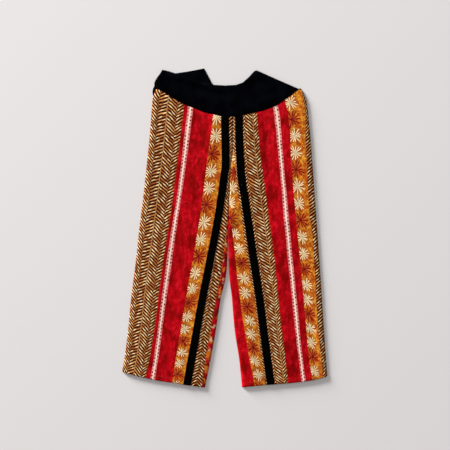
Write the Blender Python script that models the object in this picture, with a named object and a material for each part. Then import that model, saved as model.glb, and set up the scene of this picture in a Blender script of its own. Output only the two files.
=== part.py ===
"""Cropped wide-leg trousers in printed cotton with a black jersey waistband, laid flat, front up.

The garment lies on the XY plane with its waist towards +Y. The wearer's right leg is at -X and the
left leg at +X. The origin is on the surface, in the middle of the rectangle that the garment covers.
Tables and sizes are in millimetres, and the meshes are in metres.

Every piece is a wall of cloth between two grids of points. The back panels and the back waistband lie
flat on the surface, and the front ones lie on them, lifted a little by the folds in FOLDS.
"""

import math
from bisect import bisect_right
from collections import namedtuple

import bmesh
import bpy

MM = 0.001

# Walls of cloth and the gaps between them
SEAM_GAP = 0.3
LAYER_GAP = 0.3
BACK_WALL = 1.8
FRONT_WALL = 1.5
BAND_WALL = 2.5
TAPE_WALL = 1.0
TAPE_WIDTH = 23.4
BACK_INSET = 1.0

# How far the front lies above the back where no fold lifts it, and the most that a fold may lift it
PUFF = 1.5
MOST_LIFT = 3.6
# Widths over which the front turns down to a leg's edge, to the band's edge and into the centre seam
LEG_SHOULDER = 17.0
BAND_SHOULDER = 9.0
SEAM_GROOVE = 9.0
GROOVE_LIFT = 0.72
CROTCH_HEIGHT = 0.0
CROTCH_BLEND = 60.0
# Steps of the search for the point where a leg's line meets an edge
EDGE_SEARCH = 12

# A leg's lines down the cloth: its outer edge, the white stripe and the middle of the black tape
LegRow = namedtuple("LegRow", "y outer stripe tape")
RIGHT_LEG = (
    LegRow(-480, -316.5, -219.7, -115.2),
    LegRow(-336, -293.3, -200.3, -89.3),
    LegRow(-216, -281.3, -185.3, -67.7),
    LegRow(-102, -266.9, -167.6, -45.2),
    LegRow(0, -255.8, -152.3, -25.7),
    LegRow(84, -245.3, -139.7, -11.6),
    LegRow(156, -237.4, -130.8, -2.0),
    LegRow(195, -233.3, -126.1, 2.4),
    LegRow(324, -221.0, -107.9, 0.5),
    LegRow(372, -217.7, -101.3, 0.4),
    LegRow(398, -212.6, -97.6, 0.4),
    LegRow(425, -201.5, -94.0, 0.4),
)
LEFT_LEG = (
    LegRow(-480, 310.4, 236.9, 139.4),
    LegRow(-336, 299.6, 219.8, 119.9),
    LegRow(-216, 291.8, 208.7, 104.6),
    LegRow(-102, 284.0, 197.0, 87.5),
    LegRow(0, 276.8, 188.0, 72.8),
    LegRow(84, 270.8, 181.4, 60.8),
    LegRow(189, 263.3, 170.6, 47.4),
    LegRow(324, 251.9, 155.6, 42.4),
    LegRow(372, 246.2, 141.2, 41.6),
    LegRow(400, 238.4, 132.6, 41.2),
    LegRow(425, 221.0, 125.0, 40.8),
)

# The seams between the legs: the centre front and back seam down to the crotch, then the two inseams
SeamPoint = namedtuple("SeamPoint", "y x")
CENTRE_SEAM = (
    SeamPoint(0, 9.6),
    SeamPoint(84, 13.9),
    SeamPoint(189, 17.9),
    SeamPoint(234, 24.4),
    SeamPoint(425, 24.5),
)
RIGHT_INSEAM = (
    SeamPoint(-480, -59.5),
    SeamPoint(-336, -31.7),
    SeamPoint(-216, -12.8),
    SeamPoint(-102, 7.2),
    SeamPoint(0, 9.6),
)
LEFT_INSEAM = (
    SeamPoint(-480, 52.0),
    SeamPoint(-432, 47.4),
    SeamPoint(-384, 41.9),
    SeamPoint(-336, 34.0),
    SeamPoint(-288, 27.8),
    SeamPoint(-216, 21.8),
    SeamPoint(-102, 11.4),
    SeamPoint(0, 9.6),
)

# Edges that cross the cloth, from left to right
EdgePoint = namedtuple("EdgePoint", "x y")
RIGHT_HEM = (
    EdgePoint(-308.0, -430.5),
    EdgePoint(-257.0, -445.0),
    EdgePoint(-149.0, -465.0),
    EdgePoint(-59.0, -478.0),
)
LEFT_HEM = (
    EdgePoint(55.0, -477.0),
    EdgePoint(121.0, -470.5),
    EdgePoint(239.0, -460.0),
    EdgePoint(308.0, -445.0),
)
FRONT_WAIST = (
    EdgePoint(-206.0, 418.5),
    EdgePoint(-185.0, 408.0),
    EdgePoint(-137.0, 378.5),
    EdgePoint(-95.0, 360.5),
    EdgePoint(-37.0, 341.5),
    EdgePoint(23.0, 334.0),
    EdgePoint(75.0, 343.5),
    EdgePoint(137.0, 360.0),
    EdgePoint(172.0, 379.5),
    EdgePoint(224.0, 417.5),
)
BACK_WAIST = (
    EdgePoint(-216.0, 395.0),
    EdgePoint(-120.0, 363.0),
    EdgePoint(24.0, 349.0),
    EdgePoint(130.0, 367.0),
    EdgePoint(226.0, 411.0),
)

# The waistband's stations: where each starts on the waist seam, and where it ends on the top edge
BandStation = namedtuple("BandStation", "seam_x top_x top_y")
FRONT_BAND = (
    BandStation(-205.5, -188.5, 474.5),
    BandStation(-182.0, -168.0, 470.0),
    BandStation(-158.0, -147.5, 463.5),
    BandStation(-118.0, -111.0, 450.0),
    BandStation(-70.0, -60.0, 435.5),
    BandStation(-40.0, -32.0, 429.0),
    BandStation(0.0, 2.0, 427.0),
    BandStation(36.0, 34.0, 429.0),
    BandStation(70.0, 54.0, 436.0),
    BandStation(100.0, 73.0, 453.0),
    BandStation(128.0, 88.0, 470.0),
    BandStation(137.0, 96.0, 472.5),
    BandStation(176.0, 152.0, 447.5),
    BandStation(219.5, 221.5, 417.2),
)
BACK_BAND = (
    BandStation(-214.0, -186.0, 470.0),
    BandStation(-172.0, -147.5, 464.0),
    BandStation(-130.0, -111.0, 469.3),
    BandStation(-82.0, -62.0, 478.5),
    BandStation(-66.0, -53.0, 462.0),
    BandStation(-46.0, -38.5, 434.0),
    BandStation(-28.0, -24.0, 419.0),
    BandStation(24.0, 14.0, 415.0),
    BandStation(72.0, 52.0, 425.0),
    BandStation(108.0, 88.0, 461.0),
    BandStation(122.0, 98.0, 469.0),
    BandStation(170.0, 152.0, 445.0),
    BandStation(217.0, 217.0, 416.2),
)
# The band's left side bows outwards, most at a third of its height, and less further from the side
LEFT_SIDE_BOW = -11.0
BOW_REACH = 25.0

# Folds in the front layer: a ridge has a height above 0 and a trough below, and a side is half a fold's
# width. Past its ends a fold fades out over FOLD_FADE sides.
Fold = namedtuple("Fold", "x0 y0 x1 y1 height side")
FOLD_FADE = 1.6
FOLDS = (
    Fold(-214, 350, -238, 90, 1.1, 19),
    Fold(-62, 326, -104, 150, -1.1, 17),
    Fold(-30, 320, -48, 190, 0.8, 13),
    Fold(4, 24, -84, 178, 1.2, 15),
    Fold(-2, -30, -118, 96, -1.0, 15),
    Fold(-24, -88, -170, 20, 0.9, 17),
    Fold(-186, -20, -238, -390, 1.2, 24),
    Fold(-138, -90, -176, -330, -0.9, 19),
    Fold(-54, -170, -92, -430, 1.1, 18),
    Fold(-262, -120, -286, -330, -0.7, 16),
    Fold(66, 322, 92, 120, 1.0, 16),
    Fold(122, 330, 140, 160, -1.1, 17),
    Fold(18, 22, 102, 160, 1.1, 14),
    Fold(20, -26, 142, 74, -0.9, 15),
    Fold(34, -92, 176, 12, 0.9, 17),
    Fold(238, 372, 258, 40, 1.1, 19),
    Fold(148, -30, 186, -400, 1.2, 23),
    Fold(226, -70, 258, -380, -0.9, 18),
    Fold(58, -200, 92, -440, 1.0, 17),
    Fold(268, -150, 290, -400, 0.9, 15),
    Fold(-158, 452, -30, 416, 1.9, 9),
    Fold(-176, 434, -16, 394, -1.5, 13),
    Fold(-16, 394, 92, 420, -1.3, 15),
    Fold(-150, 396, 10, 350, 1.0, 15),
    Fold(30, 350, 176, 398, 1.0, 15),
    Fold(104, 456, 196, 424, 0.9, 12),
)

# Grid lines across a leg, counted from its outer edge (0) by the stripe (1), the tape's two edges
# (2 and 3) and the inner edge (4), and along it from hem (0) to waist (1)
LEG_LINES = (
    0, 0.03, 0.08, 0.16, 0.32, 0.5, 0.7, 0.88,
    1, 1.25, 1.5, 1.75, 2, 2.5, 3, 3.25, 3.6, 3.85, 4,
)
BACK_LINES = (0, 1, 2, 3, 4)
TAPE_LINES = (2, 2.5, 3)
LEG_ROWS = 34
BACK_ROWS = 17
# Parts of a band's height from its seam to its top edge, and the least space between its columns
BAND_ROWS = (0, 0.08, 0.22, 0.4, 0.58, 0.76, 0.9, 0.97, 1)
BACK_BAND_ROWS = (0, 0.34, 0.67, 1)
LEAST_COLUMN = 4.0

# Colours as linear RGB, with roughness
Finish = namedtuple("Finish", "name color roughness")
PRINTED_COTTON = Finish("printed_cotton", (0.42, 0.09, 0.03), 0.85)
BLACK_JERSEY = Finish("black_jersey", (0.006, 0.007, 0.010), 0.95)
BLACK_TAPE = Finish("black_tape", (0.004, 0.004, 0.004), 0.9)


def clear_scene():
    for thing in list(bpy.data.objects):
        bpy.data.objects.remove(thing)


def curve_through(places, values):
    """A smooth function through the points that doesn't overshoot between them."""
    steps = [b - a for a, b in zip(places, places[1:])]
    slopes = [(q - p) / step for p, q, step in zip(values, values[1:], steps)]
    tangents = [slopes[0]]
    for left, right in zip(slopes, slopes[1:]):
        tangents.append(0.0 if left * right <= 0 else 2 * left * right / (left + right))
    tangents.append(slopes[-1])

    def value(at):
        if at <= places[0]:
            return values[0] + (at - places[0]) * tangents[0]
        if at >= places[-1]:
            return values[-1] + (at - places[-1]) * tangents[-1]
        i = bisect_right(places, at) - 1
        t = (at - places[i]) / steps[i]
        start = values[i] + t * steps[i] * tangents[i]
        end = values[i + 1] - (1 - t) * steps[i] * tangents[i + 1]
        ease = t * t * (3 - 2 * t)
        return start + (end - start) * ease

    return value


def edge_curve(points):
    return curve_through([p.x for p in points], [p.y for p in points])


def seam_curve(points):
    return curve_through([p.y for p in points], [p.x for p in points])


CENTRE_SEAM_CURVE = seam_curve(CENTRE_SEAM)


class Leg:
    """The plan of one leg: where its lines run, and where they end."""

    def __init__(self, rows, inseam, hem):
        heights = [row.y for row in rows]
        self.outer = curve_through(heights, [row.outer for row in rows])
        self.stripe = curve_through(heights, [row.stripe for row in rows])
        self.tape = curve_through(heights, [row.tape for row in rows])
        self.inseam = seam_curve(inseam)
        self.hem = edge_curve(hem)
        self.side = 1 if rows[0].outer > rows[0].tape else -1

    def inner(self, y):
        return CENTRE_SEAM_CURVE(y) if y >= CROTCH_HEIGHT else self.inseam(y)

    def key_lines(self, y, inset):
        """The x of the outer edge, the stripe, the tape's two edges and the inner edge at height y."""
        half = self.side * TAPE_WIDTH / 2
        return (
            self.outer(y) - self.side * inset,
            self.stripe(y),
            self.tape(y) + half,
            self.tape(y) - half,
            self.inner(y) + self.side * (SEAM_GAP / 2 + inset),
        )

    def x_at(self, line, y, inset=0.0):
        keys = self.key_lines(y, inset)
        i = min(int(line), len(keys) - 2)
        return keys[i] + (keys[i + 1] - keys[i]) * (line - i)

    def end_of(self, line, edge, inset):
        """The height at which a line meets an edge that crosses the cloth."""
        y = 0.0
        for _ in range(EDGE_SEARCH):
            y = edge(self.x_at(line, y, inset))
        return y

    def grid(self, lines, rows, waist, layer, inset=0.0):
        """Rows of points from hem to waist seam; `layer` gives a wall's underside and top there."""
        lows = [self.end_of(line, self.hem, inset) for line in lines]
        highs = [self.end_of(line, waist, inset) - SEAM_GAP / 2 for line in lines]
        made = []
        for j in range(rows + 1):
            row = []
            for line, low, high in zip(lines, lows, highs):
                y = low + (high - low) * j / rows
                x = self.x_at(line, y, inset)
                row.append((x, y, *layer(x, y)))
            made.append(row)
        return made


FRONT_WAIST_CURVE = edge_curve(FRONT_WAIST)
BACK_WAIST_CURVE = edge_curve(BACK_WAIST)


def shoulder(distance, width):
    """0 at an edge and 1 from `width` inwards, round in between."""
    t = min(max(distance / width, 0.0), 1.0)
    return math.sqrt(1 - (1 - t) ** 2)


def fold_height(x, y):
    """The sum of the folds at a point; each fades out across its side and towards its ends."""
    total = 0.0
    for fold in FOLDS:
        dx, dy = fold.x1 - fold.x0, fold.y1 - fold.y0
        length = math.hypot(dx, dy)
        along = ((x - fold.x0) * dx + (y - fold.y0) * dy) / length
        across = ((x - fold.x0) * dy - (y - fold.y0) * dx) / length
        beyond = max(-along, along - length, 0.0) / (FOLD_FADE * fold.side)
        total += fold.height * math.exp(-((across / fold.side) ** 2) - beyond**2)
    return total


def open_lift(x, y):
    """How far the front layer lies above the back one, away from any edge: 0 to MOST_LIFT."""
    middle = MOST_LIFT / 2
    return middle + middle * math.tanh((PUFF + fold_height(x, y) - middle) / middle)


def leg_lift(leg, x, y):
    """The front layer's lift on a leg, turned down at its edges and a little at the centre seam."""
    keys = leg.key_lines(y, 0.0)
    at_outer = shoulder(abs(x - keys[0]), LEG_SHOULDER)
    from_inner = abs(x - keys[-1])
    below_crotch = min(max((CROTCH_HEIGHT - y) / CROTCH_BLEND, 0.0), 1.0)
    edge = shoulder(from_inner, LEG_SHOULDER)
    groove = GROOVE_LIFT + (1 - GROOVE_LIFT) * shoulder(from_inner, SEAM_GROOVE)
    at_inner = groove + (edge - groove) * below_crotch
    return open_lift(x, y) * at_outer * at_inner


def wall(name, grid, finish):
    """A closed wall of cloth. `grid` holds rows of (x, y, low, high), the same number in each row."""
    wide, tall = len(grid[0]), len(grid)
    mesh = bmesh.new()
    low = [[mesh.verts.new((x * MM, y * MM, a * MM)) for x, y, a, _ in row] for row in grid]
    high = [[mesh.verts.new((x * MM, y * MM, b * MM)) for x, y, _, b in row] for row in grid]
    for j in range(tall - 1):
        for i in range(wide - 1):
            mesh.faces.new((high[j][i], high[j][i + 1], high[j + 1][i + 1], high[j + 1][i]))
            mesh.faces.new((low[j][i], low[j + 1][i], low[j + 1][i + 1], low[j][i + 1]))
    rim = [(0, i) for i in range(wide)]
    rim += [(j, wide - 1) for j in range(1, tall)]
    rim += [(tall - 1, i) for i in range(wide - 2, -1, -1)]
    rim += [(j, 0) for j in range(tall - 2, 0, -1)]
    for (j, i), (next_j, next_i) in zip(rim, rim[1:] + rim[:1]):
        mesh.faces.new((low[j][i], low[next_j][next_i], high[next_j][next_i], high[j][i]))
    bmesh.ops.recalc_face_normals(mesh, faces=mesh.faces)
    data = bpy.data.meshes.new(name)
    mesh.to_mesh(data)
    mesh.free()
    data.shade_smooth()
    data.set_sharp_from_angle(angle=math.radians(40))
    data.materials.append(material(finish))
    piece = bpy.data.objects.new(name, data)
    bpy.context.scene.collection.objects.link(piece)
    return piece


def material(finish):
    made = bpy.data.materials.get(finish.name)
    if made is None:
        made = bpy.data.materials.new(finish.name)
        made.use_nodes = True
        shader = made.node_tree.nodes["Principled BSDF"]
        shader.inputs["Base Color"].default_value = (*finish.color, 1.0)
        shader.inputs["Roughness"].default_value = finish.roughness
        shader.inputs["Metallic"].default_value = 0.0
    return made


def flat_layer(x, y):
    return 0.0, BACK_WALL


def raised_layer(leg, base, thickness):
    """A layer that follows the front's lift, `base` above the back panels."""

    def layer(x, y):
        under = BACK_WALL + base + leg_lift(leg, x, y)
        return under, under + thickness

    return layer


def front_leg(name, leg):
    layer = raised_layer(leg, LAYER_GAP, FRONT_WALL)
    return wall(name, leg.grid(LEG_LINES, LEG_ROWS, FRONT_WAIST_CURVE, layer), PRINTED_COTTON)


def tape(name, leg):
    """A tape sewn down the leg, made from the panel's own points moved out by a gap."""
    layer = raised_layer(leg, LAYER_GAP + FRONT_WALL + SEAM_GAP, TAPE_WALL)
    return wall(name, leg.grid(TAPE_LINES, LEG_ROWS, FRONT_WAIST_CURVE, layer), BLACK_TAPE)


def back_leg(name, leg):
    grid = leg.grid(BACK_LINES, BACK_ROWS, BACK_WAIST_CURVE, flat_layer, BACK_INSET)
    return wall(name, grid, PRINTED_COTTON)


def waist_seam(right_leg, left_leg, lines, waist, inset=0.0):
    """The seam from left to right as (x, y) points, straight between the ends of the legs' lines."""

    def top(leg, line):
        y = leg.end_of(line, waist, inset)
        return leg.x_at(line, y - SEAM_GAP / 2, inset), y + SEAM_GAP / 2

    right = [top(right_leg, line) for line in lines]
    left = [top(left_leg, line) for line in reversed(lines)]
    (ax, ay), (bx, by) = right[-1], left[0]
    return [*right[:-1], ((ax + bx) / 2, (ay + by) / 2), *left[1:]]


def between(points, at):
    """The value at a place on a line that is straight between its points."""
    i = min(max(bisect_right(points, (at, math.inf)) - 1, 0), len(points) - 2)
    (x0, y0), (x1, y1) = points[i], points[i + 1]
    return y0 + (y1 - y0) * (at - x0) / (x1 - x0)


class Band:
    """The plan of one layer of the waistband, from its seam to its top edge."""

    def __init__(self, seam, stations):
        self.seam = seam
        self.top_x = [(s.seam_x, s.top_x) for s in stations]
        self.top_y = [(s.seam_x, s.top_y) for s in stations]
        corners = [x for x, _ in seam]
        extra = [s.seam_x for s in stations if self.is_clear(s.seam_x, corners)]
        self.columns = sorted(corners + extra)

    def is_clear(self, x, corners):
        """Whether a column at x stays inside the seam and well apart from its other columns."""
        inside = corners[0] < x < corners[-1]
        return inside and min(abs(x - corner) for corner in corners) > LEAST_COLUMN

    def point(self, column, part):
        """The point of a column at a part of the way from the seam (0) to the top edge (1)."""
        foot_y = between(self.seam, column)
        x = column + (between(self.top_x, column) - column) * part
        y = foot_y + (between(self.top_y, column) - foot_y) * part
        near_left = max(1 - (column - self.columns[0]) / BOW_REACH, 0.0)
        bulge = part * (1 - part) ** 2 * 27 / 4
        return x + LEFT_SIDE_BOW * bulge * near_left, y

    def height(self, column):
        return math.dist(self.point(column, 0.0), self.point(column, 1.0))


def front_band(name, band):
    """The front waistband, turned down at its top edge and at its two ends."""
    low = BACK_WALL + LAYER_GAP
    grid = []
    for part in BAND_ROWS:
        left_x = band.point(band.columns[0], part)[0]
        right_x = band.point(band.columns[-1], part)[0]
        row = []
        for column in band.columns:
            x, y = band.point(column, part)
            at_top = shoulder((1 - part) * band.height(column), BAND_SHOULDER)
            at_side = shoulder(min(x - left_x, right_x - x), BAND_SHOULDER)
            under = low + open_lift(x, y) * at_top * at_side
            row.append((x, y, under, under + BAND_WALL))
        grid.append(row)
    return wall(name, grid, BLACK_JERSEY)


def back_band(name, band):
    grid = []
    for part in BACK_BAND_ROWS:
        points = [band.point(column, part) for column in band.columns]
        grid.append([(x, y, 0.0, BACK_WALL) for x, y in points])
    return wall(name, grid, BLACK_JERSEY)


def centre_on_origin(pieces):
    """Moves the meshes together so that the origin is in the middle of the garment's rectangle."""
    points = [vertex.co for piece in pieces for vertex in piece.data.vertices]
    shift_x = (min(p.x for p in points) + max(p.x for p in points)) / 2
    shift_y = (min(p.y for p in points) + max(p.y for p in points)) / 2
    for piece in pieces:
        for vertex in piece.data.vertices:
            vertex.co.x -= shift_x
            vertex.co.y -= shift_y


def build():
    clear_scene()
    right_leg = Leg(RIGHT_LEG, RIGHT_INSEAM, RIGHT_HEM)
    left_leg = Leg(LEFT_LEG, LEFT_INSEAM, LEFT_HEM)
    front_seam = waist_seam(right_leg, left_leg, LEG_LINES, FRONT_WAIST_CURVE)
    back_seam = waist_seam(right_leg, left_leg, BACK_LINES, BACK_WAIST_CURVE, BACK_INSET)
    pieces = [
        back_leg("leg_back_right", right_leg),
        back_leg("leg_back_left", left_leg),
        front_leg("leg_front_right", right_leg),
        front_leg("leg_front_left", left_leg),
        tape("tape_right", right_leg),
        tape("tape_left", left_leg),
        back_band("waistband_back", Band(back_seam, BACK_BAND)),
        front_band("waistband_front", Band(front_seam, FRONT_BAND)),
    ]
    centre_on_origin(pieces)


build()
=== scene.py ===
import functools
import math
from bisect import bisect_right
from collections import namedtuple

import bmesh
import bpy
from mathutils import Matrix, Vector


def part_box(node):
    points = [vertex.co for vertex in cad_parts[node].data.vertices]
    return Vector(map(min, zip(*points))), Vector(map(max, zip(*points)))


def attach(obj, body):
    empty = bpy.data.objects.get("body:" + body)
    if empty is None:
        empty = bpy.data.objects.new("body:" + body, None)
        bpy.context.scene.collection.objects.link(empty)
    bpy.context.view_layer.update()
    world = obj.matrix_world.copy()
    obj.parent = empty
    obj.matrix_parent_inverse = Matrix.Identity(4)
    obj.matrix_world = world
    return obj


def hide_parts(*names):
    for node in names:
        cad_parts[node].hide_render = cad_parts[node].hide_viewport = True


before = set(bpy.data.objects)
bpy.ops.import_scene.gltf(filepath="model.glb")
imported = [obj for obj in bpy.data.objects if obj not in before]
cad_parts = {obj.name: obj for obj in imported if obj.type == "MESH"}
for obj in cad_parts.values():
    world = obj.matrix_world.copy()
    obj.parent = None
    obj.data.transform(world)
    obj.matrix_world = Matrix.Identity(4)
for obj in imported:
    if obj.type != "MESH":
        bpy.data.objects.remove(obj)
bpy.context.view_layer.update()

# The legs' fronts.
# Two panels of light cotton, printed in stripes and sewn together down the centre front. They lie on
# the backs, front up, a little puffed and creased, and roll over at the side seams and inseams.
MM = 0.001
LegRow = namedtuple("LegRow", "y outer tape")
RIGHT_LEG = (
    LegRow(-480, -316.5, -115.2),
    LegRow(-336, -293.3, -89.3),
    LegRow(-216, -281.3, -67.7),
    LegRow(-102, -266.9, -45.2),
    LegRow(0, -255.8, -25.7),
    LegRow(84, -245.3, -11.6),
    LegRow(156, -237.4, -2.0),
    LegRow(195, -233.3, 2.4),
    LegRow(324, -221.0, 0.5),
    LegRow(372, -217.7, 0.4),
    LegRow(398, -212.6, 0.4),
    LegRow(425, -201.5, 0.4),
)
LEFT_LEG = (
    LegRow(-480, 310.4, 139.4),
    LegRow(-336, 299.6, 119.9),
    LegRow(-216, 291.8, 104.6),
    LegRow(-102, 284.0, 87.5),
    LegRow(0, 276.8, 72.8),
    LegRow(84, 270.8, 60.8),
    LegRow(189, 263.3, 47.4),
    LegRow(324, 251.9, 42.4),
    LegRow(372, 246.2, 41.6),
    LegRow(400, 238.4, 41.2),
    LegRow(425, 221.0, 40.8),
)
SeamPoint = namedtuple("SeamPoint", "y x")
CENTRE_SEAM = (
    SeamPoint(0, 9.6),
    SeamPoint(84, 13.9),
    SeamPoint(189, 17.9),
    SeamPoint(234, 24.4),
    SeamPoint(425, 24.5),
)
RIGHT_INSEAM = (
    SeamPoint(-480, -59.5),
    SeamPoint(-336, -31.7),
    SeamPoint(-216, -12.8),
    SeamPoint(-102, 7.2),
    SeamPoint(0, 9.6),
)
LEFT_INSEAM = (
    SeamPoint(-480, 52.0),
    SeamPoint(-432, 47.4),
    SeamPoint(-384, 41.9),
    SeamPoint(-336, 34.0),
    SeamPoint(-288, 27.8),
    SeamPoint(-216, 21.8),
    SeamPoint(-102, 11.4),
    SeamPoint(0, 9.6),
)
EdgePoint = namedtuple("EdgePoint", "x y")
RIGHT_HEM = (
    EdgePoint(-308.0, -430.5),
    EdgePoint(-257.0, -445.0),
    EdgePoint(-149.0, -465.0),
    EdgePoint(-59.0, -478.0),
)
LEFT_HEM = (
    EdgePoint(55.0, -477.0),
    EdgePoint(121.0, -470.5),
    EdgePoint(239.0, -460.0),
    EdgePoint(308.0, -445.0),
)
FRONT_WAIST = (
    EdgePoint(-206.0, 418.5),
    EdgePoint(-185.0, 408.0),
    EdgePoint(-137.0, 378.5),
    EdgePoint(-95.0, 360.5),
    EdgePoint(-37.0, 341.5),
    EdgePoint(23.0, 334.0),
    EdgePoint(75.0, 343.5),
    EdgePoint(137.0, 360.0),
    EdgePoint(172.0, 379.5),
    EdgePoint(224.0, 417.5),
)
# Where each stripe of the print begins, from the side seam inwards on the right leg and from the
# centre outwards on the left leg
RightStripes = namedtuple("RightStripes", "y red line wide_red flowers turn sliver")
RIGHT_STRIPES = (
    RightStripes(-456, -237.5, -224.3, -209.7, -157.3, -80.9, -65.3),
    RightStripes(-336, -215.5, -204.6, -190.8, -136.8, -63.8, -48.8),
    RightStripes(-216, -199.5, -190.7, -175.0, -117.8, -45.8, -26.3),
    RightStripes(-36, -174.0, -164.7, -148.5, -85.3, -21.0, 0.8),
    RightStripes(144, -148.3, -137.0, -123.0, -59.8, 8.0, 16.0),
    RightStripes(324, -127.1, -116.0, -97.8, -36.6, 24.0, 25.0),
    RightStripes(400, -118.0, -107.0, -89.0, -28.0, 24.0, 25.0),
)
LeftStripes = namedtuple("LeftStripes", "y flowers strokes wide_red line red outer_flowers edge")
LEFT_STRIPES = (
    LeftStripes(-456, 86.3, 118.8, 188.6, 228.8, 243.1, 261.8, 295.0),
    LeftStripes(-336, 65.3, 103.2, 175.1, 214.7, 227.4, 246.3, 283.3),
    LeftStripes(-216, 45.8, 88.2, 161.2, 200.9, 216.3, 236.9, 273.8),
    LeftStripes(-36, 26.3, 59.0, 142.5, 183.3, 198.2, 219.1, 263.8),
    LeftStripes(0, 21.0, 54.0, 137.5, 179.8, 194.6, 215.7, 260.5),
    LeftStripes(40, 12.0, 49.0, 131.6, 175.4, 190.9, 212.3, 253.5),
    LeftStripes(144, 16.0, 34.8, 117.1, 167.3, 181.9, 203.8, 248.0),
    LeftStripes(210, 20.5, 32.5, 108.5, 160.7, 176.1, 198.4, 245.0),
    LeftStripes(240, 24.6, 26.4, 104.7, 158.2, 173.3, 197.3, 243.0),
    LeftStripes(324, 25.0, 26.0, 98.8, 149.1, 166.0, 191.3, 242.0),
    LeftStripes(400, 25.0, 26.0, 88.0, 136.5, 151.5, 175.5, 231.5),
)
# The heights at which the print's flowers sit. Every third, counted from 1, is a dark one.
PrintRow = namedtuple("PrintRow", "flower at_start at_end")
RIGHT_PRINT = (
    PrintRow(-1, 333, 333),
    PrintRow(1, 222, 222),
    PrintRow(4, 70, 70),
    PrintRow(7, -85, -85),
    PrintRow(10, -223, -223),
    PrintRow(13, -338, -338),
    PrintRow(16, -437, -437),
)
LEFT_PRINT = (
    PrintRow(1, 300, 334),
    PrintRow(4, 165, 178),
    PrintRow(7, 30, 21),
    PrintRow(10, -102, -128),
    PrintRow(13, -231, -263),
    PrintRow(16, -351, -392),
)
# The line that the flowers beside the left leg's inseam sit on
INNER_FLOWERS = (
    SeamPoint(-438, 98.0),
    SeamPoint(-276, 73.0),
    SeamPoint(-148, 57.0),
    SeamPoint(-60, 42.0),
    SeamPoint(-15, 27.8),
    SeamPoint(27, 14.5),
    SeamPoint(78, 15.5),
    SeamPoint(168, 31.0),
)
# Gaps, thicknesses and the strips' width, in millimetres like every size here
SEAM_GAP = 0.3
LAYER_GAP = 0.3
BACK_WALL = 1.8
FRONT_WALL = 1.5
TAPE_WIDTH = 23.4
CLOTH = 1.1
# How far the front lies above the back, and how it falls at its edges and at the centre seam
PUFF = 1.5
MOST_LIFT = 3.6
LEG_SHOULDER = 17.0
SEAM_GROOVE = 9.0
GROOVE_LIFT = 0.72
CROTCH_BLEND = 60.0
# The steps in which a line is followed to the edge that crosses it
EDGE_SEARCH = 12
# The broad folds of the cloth, then its finer creases: a ridge has a height above 0, a trough below
Fold = namedtuple("Fold", "x0 y0 x1 y1 height side")
FOLD_FADE = 1.6
FOLDS = (
    Fold(-214, 350, -238, 90, 1.1, 19),
    Fold(-62, 326, -104, 150, -1.1, 17),
    Fold(-30, 320, -48, 190, 0.8, 13),
    Fold(4, 24, -84, 178, 1.2, 15),
    Fold(-2, -30, -118, 96, -1.0, 15),
    Fold(-24, -88, -170, 20, 0.9, 17),
    Fold(-186, -20, -238, -390, 1.2, 24),
    Fold(-138, -90, -176, -330, -0.9, 19),
    Fold(-54, -170, -92, -430, 1.1, 18),
    Fold(-262, -120, -286, -330, -0.7, 16),
    Fold(66, 322, 92, 120, 1.0, 16),
    Fold(122, 330, 140, 160, -1.1, 17),
    Fold(18, 22, 102, 160, 1.1, 14),
    Fold(20, -26, 142, 74, -0.9, 15),
    Fold(34, -92, 176, 12, 0.9, 17),
    Fold(238, 372, 258, 40, 1.1, 19),
    Fold(148, -30, 186, -400, 1.2, 23),
    Fold(226, -70, 258, -380, -0.9, 18),
    Fold(58, -200, 92, -440, 1.0, 17),
    Fold(268, -150, 290, -400, 0.9, 15),
    Fold(-158, 452, -30, 416, 1.9, 9),
    Fold(-176, 434, -16, 394, -1.5, 13),
    Fold(-16, 394, 92, 420, -1.3, 15),
    Fold(-150, 396, 10, 350, 1.0, 15),
    Fold(30, 350, 176, 398, 1.0, 15),
    Fold(104, 456, 196, 424, 0.9, 12),
)
CREASES = (
    Fold(-196, 380, -206, 250, -0.5, 6),
    Fold(-160, 366, -172, 280, 0.4, 5),
    Fold(-86, 346, -98, 262, -0.5, 6),
    Fold(-64, 338, -66, 286, 0.4, 5),
    Fold(-44, 318, -72, 214, -0.45, 5),
    Fold(-12, 90, -70, 132, -0.6, 6),
    Fold(0, 40, -96, 104, 0.5, 6),
    Fold(-6, 2, -76, 40, -0.6, 6),
    Fold(-18, -60, -92, -24, 0.5, 6),
    Fold(-120, 60, -196, 96, -0.4, 7),
    Fold(-232, -30, -262, -170, 0.4, 6),
    Fold(-206, -210, -224, -420, -0.5, 7),
    Fold(-122, -250, -134, -452, 0.45, 7),
    Fold(-168, -380, -180, -456, -0.4, 6),
    Fold(-90, -340, -98, -464, -0.45, 6),
    Fold(-250, -330, -262, -440, 0.4, 6),
    Fold(52, 336, 56, 250, -0.45, 5),
    Fold(106, 344, 112, 262, 0.4, 6),
    Fold(156, 362, 170, 240, -0.5, 6),
    Fold(196, 384, 214, 260, 0.45, 6),
    Fold(24, 96, 78, 134, -0.55, 6),
    Fold(16, 52, 92, 100, 0.5, 6),
    Fold(18, -8, 88, 34, -0.55, 6),
    Fold(26, -70, 96, -30, 0.5, 6),
    Fold(156, 60, 226, 110, -0.4, 7),
    Fold(206, -160, 228, -330, 0.45, 7),
    Fold(120, -210, 142, -440, -0.5, 7),
    Fold(168, -330, 180, -452, 0.4, 6),
    Fold(264, -260, 282, -430, -0.45, 6),
    Fold(76, -330, 88, -462, 0.45, 6),
)
# The rolled edges, the turned hem and the dip at the seams
ROLL = 5.0
ROLL_DROP = 2.0
HEM_DEPTH = 14.0
HEM_RISE = 0.45
HEM_STEP = 2.0
SEAM_DIP = 1.1
SEAM_DIP_WIDTH = 5.0
# The grid's cells, and the heights at which a stripe is measured for the cells across it
CELL = 3.6
MEASURED_AT = (-400, -200, 0, 200)
# The least width that a stripe's cells keep, and the least that shows its own print
LEAST_STRIPE = 0.25
LEAST_PRINT = 1.5
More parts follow.
